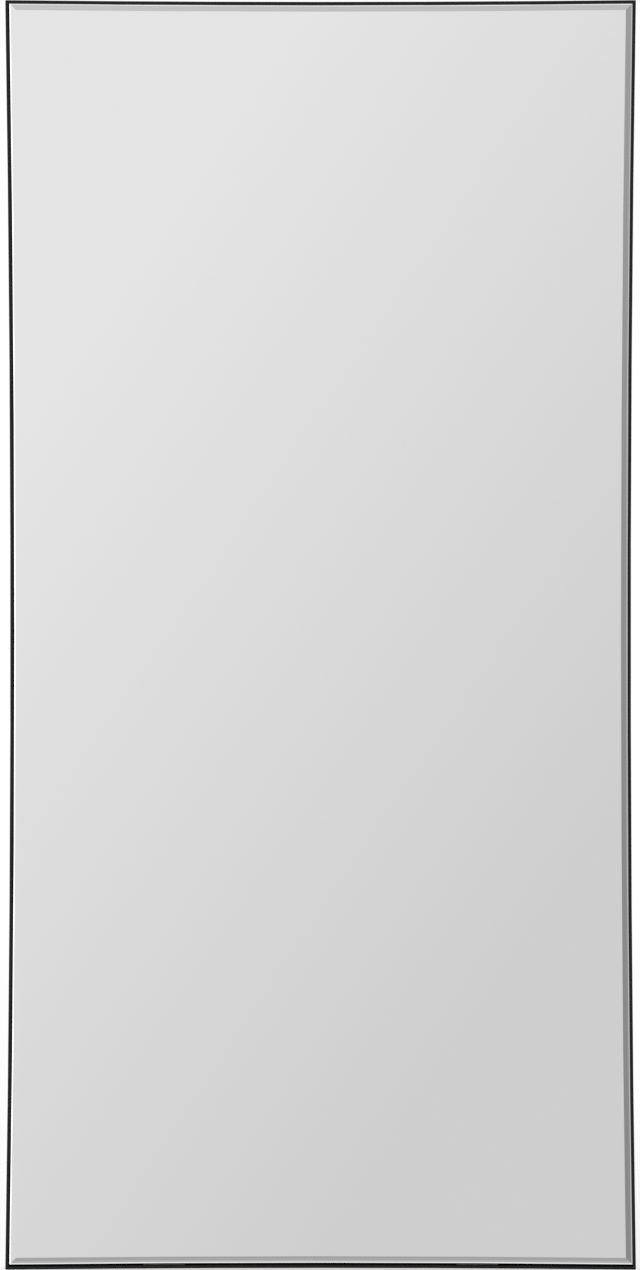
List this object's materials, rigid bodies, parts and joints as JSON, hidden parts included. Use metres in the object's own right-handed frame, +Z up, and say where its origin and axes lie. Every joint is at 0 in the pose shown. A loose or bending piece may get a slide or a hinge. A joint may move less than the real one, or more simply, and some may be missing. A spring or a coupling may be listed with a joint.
{
  "type": "full-length mirror",
  "caption": "Tall rectangular mirror with a bevelled edge in a very thin black metal tray frame, with swinging wire rings and rubber bumpers behind for hanging it on a wall.",
  "frame": {"origin": "under the middle of the mirror, level with its lowest corners and half way through its depth", "axes": "+Z up the mirror, -Y out of its front face, +Y to the wall, +X to the right as seen from the front"},
  "size_m": [0.914, 0.0254, 1.84],
  "materials": {
    "frame_metal": "satin",
    "key_steel": "satin",
    "silvered_glass": "polished",
    "foam_tape": "matte",
    "fibreboard": "matte",
    "pad_rubber": "matte",
    "zinc_steel": "satin",
    "screw_steel": "satin",
    "set_screw_steel": "satin",
    "bumper_rubber": "matte"
  },
  "bodies": {
    "mirror": {"left_rail": "frame_metal", "right_rail": "frame_metal", "top_rail": "frame_metal", "bottom_rail": "frame_metal", "corner_key_top_left": "key_steel", "corner_key_top_right": "key_steel", "corner_key_bottom_left": "key_steel", "corner_key_bottom_right": "key_steel", "corner_set_screws": "set_screw_steel", "mirror_glass": "silvered_glass", "mounting_tape_1": "foam_tape", "mounting_tape_2": "foam_tape", "mounting_tape_3": "foam_tape", "mounting_tape_4": "foam_tape", "mounting_tape_5": "foam_tape", "backing_board": "fibreboard", "setting_pad_left": "pad_rubber", "setting_pad_right": "pad_rubber", "edge_pad_left_upper": "pad_rubber", "edge_pad_left_lower": "pad_rubber", "edge_pad_right_upper": "pad_rubber", "edge_pad_right_lower": "pad_rubber", "flange_screws": "screw_steel", "hanger_strap_left": "zinc_steel", "hanger_strap_right": "zinc_steel", "hanger_strap_side_upper": "zinc_steel", "hanger_strap_side_lower": "zinc_steel", "hanger_screws": "screw_steel", "wall_bumper_top_left": "bumper_rubber", "wall_bumper_top_right": "bumper_rubber", "wall_bumper_bottom_left": "bumper_rubber", "wall_bumper_bottom_right": "bumper_rubber", "bumper_washers": "screw_steel", "bumper_screws": "screw_steel"},
    "ring_left": {"hanger_ring_left": "zinc_steel"},
    "ring_right": {"hanger_ring_right": "zinc_steel"},
    "ring_side_upper": {"hanger_ring_side_upper": "zinc_steel"},
    "ring_side_lower": {"hanger_ring_side_lower": "zinc_steel"}
  },
  "joints": [
    {"name": "ring_left_swing", "type": "hinge", "parent": "mirror", "child": "ring_left", "pos_m": [-0.307, 0.0057, 1.6], "axis": [1, 0, 0], "range_deg": [0, 180]},
    {"name": "ring_right_swing", "type": "hinge", "parent": "mirror", "child": "ring_right", "pos_m": [0.307, 0.0057, 1.6], "axis": [1, 0, 0], "range_deg": [0, 180]},
    {"name": "ring_side_upper_swing", "type": "hinge", "parent": "mirror", "child": "ring_side_upper", "pos_m": [0.347, 0.0057, 1.42], "axis": [0, 0, -1], "range_deg": [0, 180]},
    {"name": "ring_side_lower_swing", "type": "hinge", "parent": "mirror", "child": "ring_side_lower", "pos_m": [0.347, 0.0057, 0.42], "axis": [0, 0, -1], "range_deg": [0, 180]}
  ]
}
